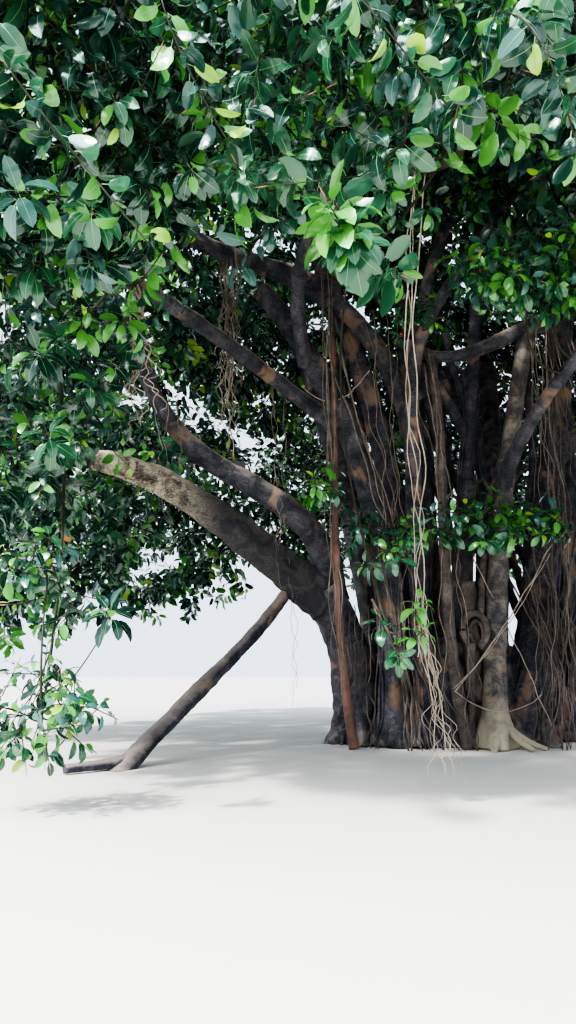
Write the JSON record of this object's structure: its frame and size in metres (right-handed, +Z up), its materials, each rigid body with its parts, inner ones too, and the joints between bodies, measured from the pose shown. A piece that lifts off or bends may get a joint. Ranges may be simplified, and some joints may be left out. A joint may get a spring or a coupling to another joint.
{
  "type": "rubber fig tree",
  "caption": "Old spreading rubber fig tree: many stems rising from a fused flaring trunk, boughs under a wide low dome of glossy leaves, and hanging aerial roots.",
  "frame": {"origin": "on the level ground under the middle of the fused trunk, in the plane of the flat cut at the trunk's foot", "axes": "+Z up, +X to the right and +Y away from the viewer in the picture, so the tree's front faces -Y"},
  "size_m": [22.2922, 22.9094, 15.5787],
  "materials": {
    "bark": "smooth dark grey-brown bark",
    "pale_bark": "smooth bark with tan and buff patches",
    "aerial_roots": "matt grey-beige aerial roots",
    "red_root": "matt reddish brown aerial root",
    "foliage": "glossy dark green leaves on brown twigs"
  },
  "bodies": {
    "root": {"back_left_bough": "bark", "back_left_bough_leaves": "foliage", "back_left_stem": "bark", "back_left_stem_leaves": "foliage", "back_right_stem": "bark", "back_right_stem_leaves": "foliage", "back_stem": "bark", "back_stem_leaves": "foliage", "crossing_limb": "bark", "dark_stem": "bark", "dark_stem_leaves": "foliage", "far_left_hanging_roots": "aerial_roots", "far_right_stem": "bark", "far_right_stem_leaves": "foliage", "fore_left_bough": "bark", "fore_left_bough_leaves": "foliage", "forward_bough": "bark", "forward_bough_leaves": "foliage", "front_hanging_roots": "aerial_roots", "front_hanging_shoot": "foliage", "front_left_bough": "bark", "front_left_bough_leaves": "foliage", "front_pillar_root": "aerial_roots", "front_right_bough": "bark", "front_right_bough_leaves": "foliage", "high_right_bough": "bark", "high_right_bough_leaves": "foliage", "inner_stem": "bark", "joining_bough": "bark", "leaning_stem": "bark", "left_back_bough": "bark", "left_back_bough_leaves": "foliage", "left_hanging_roots": "aerial_roots", "left_hanging_shoot": "foliage", "low_left_bough": "pale_bark", "low_left_bough_leaves": "foliage", "middle_stem": "bark", "middle_stem_leaves": "foliage", "overhanging_leaves": "foliage", "pale_stem": "pale_bark", "prop_limb": "bark", "red_pillar_root": "red_root", "right_back_bough": "bark", "right_back_bough_leaves": "foliage", "right_bough": "bark", "right_bough_leaves": "foliage", "right_hanging_roots": "aerial_roots", "right_pillar_root": "aerial_roots", "right_stem": "bark", "right_stem_leaves": "foliage", "second_left_bough": "bark", "second_left_bough_leaves": "foliage", "side_bough": "bark", "side_bough_leaves": "foliage", "trunk": "bark", "trunk_shoot": "foliage", "upper_left_bough": "bark", "upper_left_bough_leaves": "foliage", "upright_stem": "bark", "upright_stem_leaves": "foliage"}
  },
  "joints": []
}
